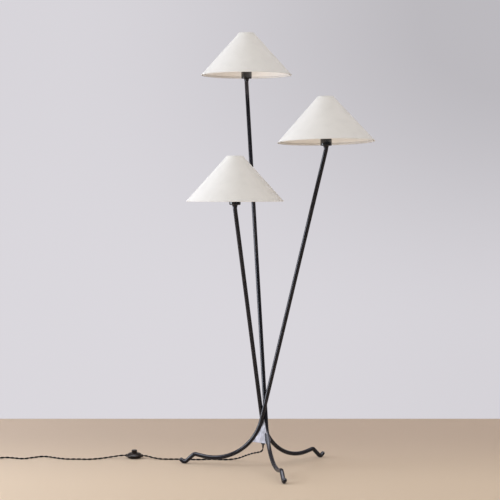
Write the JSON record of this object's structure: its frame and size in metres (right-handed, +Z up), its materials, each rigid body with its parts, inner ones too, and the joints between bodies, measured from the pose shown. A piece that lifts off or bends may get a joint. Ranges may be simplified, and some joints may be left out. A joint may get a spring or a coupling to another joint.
{
  "type": "tree floor lamp",
  "caption": "Floor lamp of bent steel stems that cross in a small hub, each with a conical shade at its own height, and a cord with a foot switch.",
  "frame": {"origin": "on the floor, under the middle of the lamp's bounding box, the cord and what is on it not counted", "axes": "+Z up, +X to the right and +Y away from a viewer who stands where the picture was taken"},
  "size_m": [1.5622, 0.8532, 1.646],
  "materials": {
    "stem_black": "satin charcoal black lacquer on hand-bent steel tube",
    "socket_black": "smooth black enamel, glossier than the stems",
    "hub_grey": "hammered light grey steel plate",
    "shade_paper": "warm white laminated shade card, matt",
    "wire_steel": "plated steel wire",
    "holder_black": "black thermoset moulding",
    "brass": "plain stamped brass",
    "cap_metal": "rolled aluminium screw cap",
    "bulb_opal": "opal white glass",
    "plastic_black": "moulded black plastic",
    "lead_sleeve": "insulated twin lead, white sleeve",
    "cord_cloth": "black braided cloth over two twisted strands",
    "switch_brown": "satin brown-black moulding",
    "spring_steel": "spring steel wire"
  },
  "bodies": {
    "lamp": {"stem_upper": "stem_black", "ferrule_upper": "stem_black", "socket_cup_upper": "socket_black", "lampholder_upper": "holder_black", "screw_shell_upper": "brass", "centre_contact_upper": "brass", "bulb_cap_upper": "cap_metal", "bulb_glass_upper": "bulb_opal", "clamp_ring_upper": "plastic_black", "shade_fitter_upper": "wire_steel", "shade_upper": "shade_paper", "rim_wire_upper": "wire_steel", "lead_upper": "lead_sleeve", "stem_middle": "stem_black", "ferrule_middle": "stem_black", "socket_cup_middle": "socket_black", "lampholder_middle": "holder_black", "screw_shell_middle": "brass", "centre_contact_middle": "brass", "bulb_cap_middle": "cap_metal", "bulb_glass_middle": "bulb_opal", "clamp_ring_middle": "plastic_black", "shade_fitter_middle": "wire_steel", "shade_middle": "shade_paper", "rim_wire_middle": "wire_steel", "lead_middle": "lead_sleeve", "stem_lower": "stem_black", "ferrule_lower": "stem_black", "socket_cup_lower": "socket_black", "lampholder_lower": "holder_black", "screw_shell_lower": "brass", "centre_contact_lower": "brass", "bulb_cap_lower": "cap_metal", "bulb_glass_lower": "bulb_opal", "clamp_ring_lower": "plastic_black", "shade_fitter_lower": "wire_steel", "shade_lower": "shade_paper", "rim_wire_lower": "wire_steel", "lead_lower": "lead_sleeve", "hub_plate_left": "hub_grey", "hub_plate_right": "hub_grey", "hub_plate_back": "hub_grey", "hub_floor": "hub_grey", "cord_bushing": "plastic_black", "wire_connector": "plastic_black", "cord_tail": "cord_cloth", "switch_base": "switch_brown", "switch_cover": "switch_brown", "switch_spring": "spring_steel", "switch_contacts": "brass", "switch_screws": "spring_steel", "plug_body": "plastic_black", "plug_blades": "brass", "cord_to_switch": "cord_cloth", "cord_to_coil": "cord_cloth", "cord_coil": "cord_cloth", "cord_to_plug": "cord_cloth", "cord_tie": "plastic_black"},
    "foot_switch_button": {"switch_button": "switch_brown"}
  },
  "joints": [
    {"name": "foot_switch_press", "type": "slide", "parent": "lamp", "child": "foot_switch_button", "axis": [0, 0, -1], "range_m": [0, 0.003], "stiffness_N_per_m": 400, "springref_m": -0.002, "deforming": ["switch_spring"]}
  ]
}
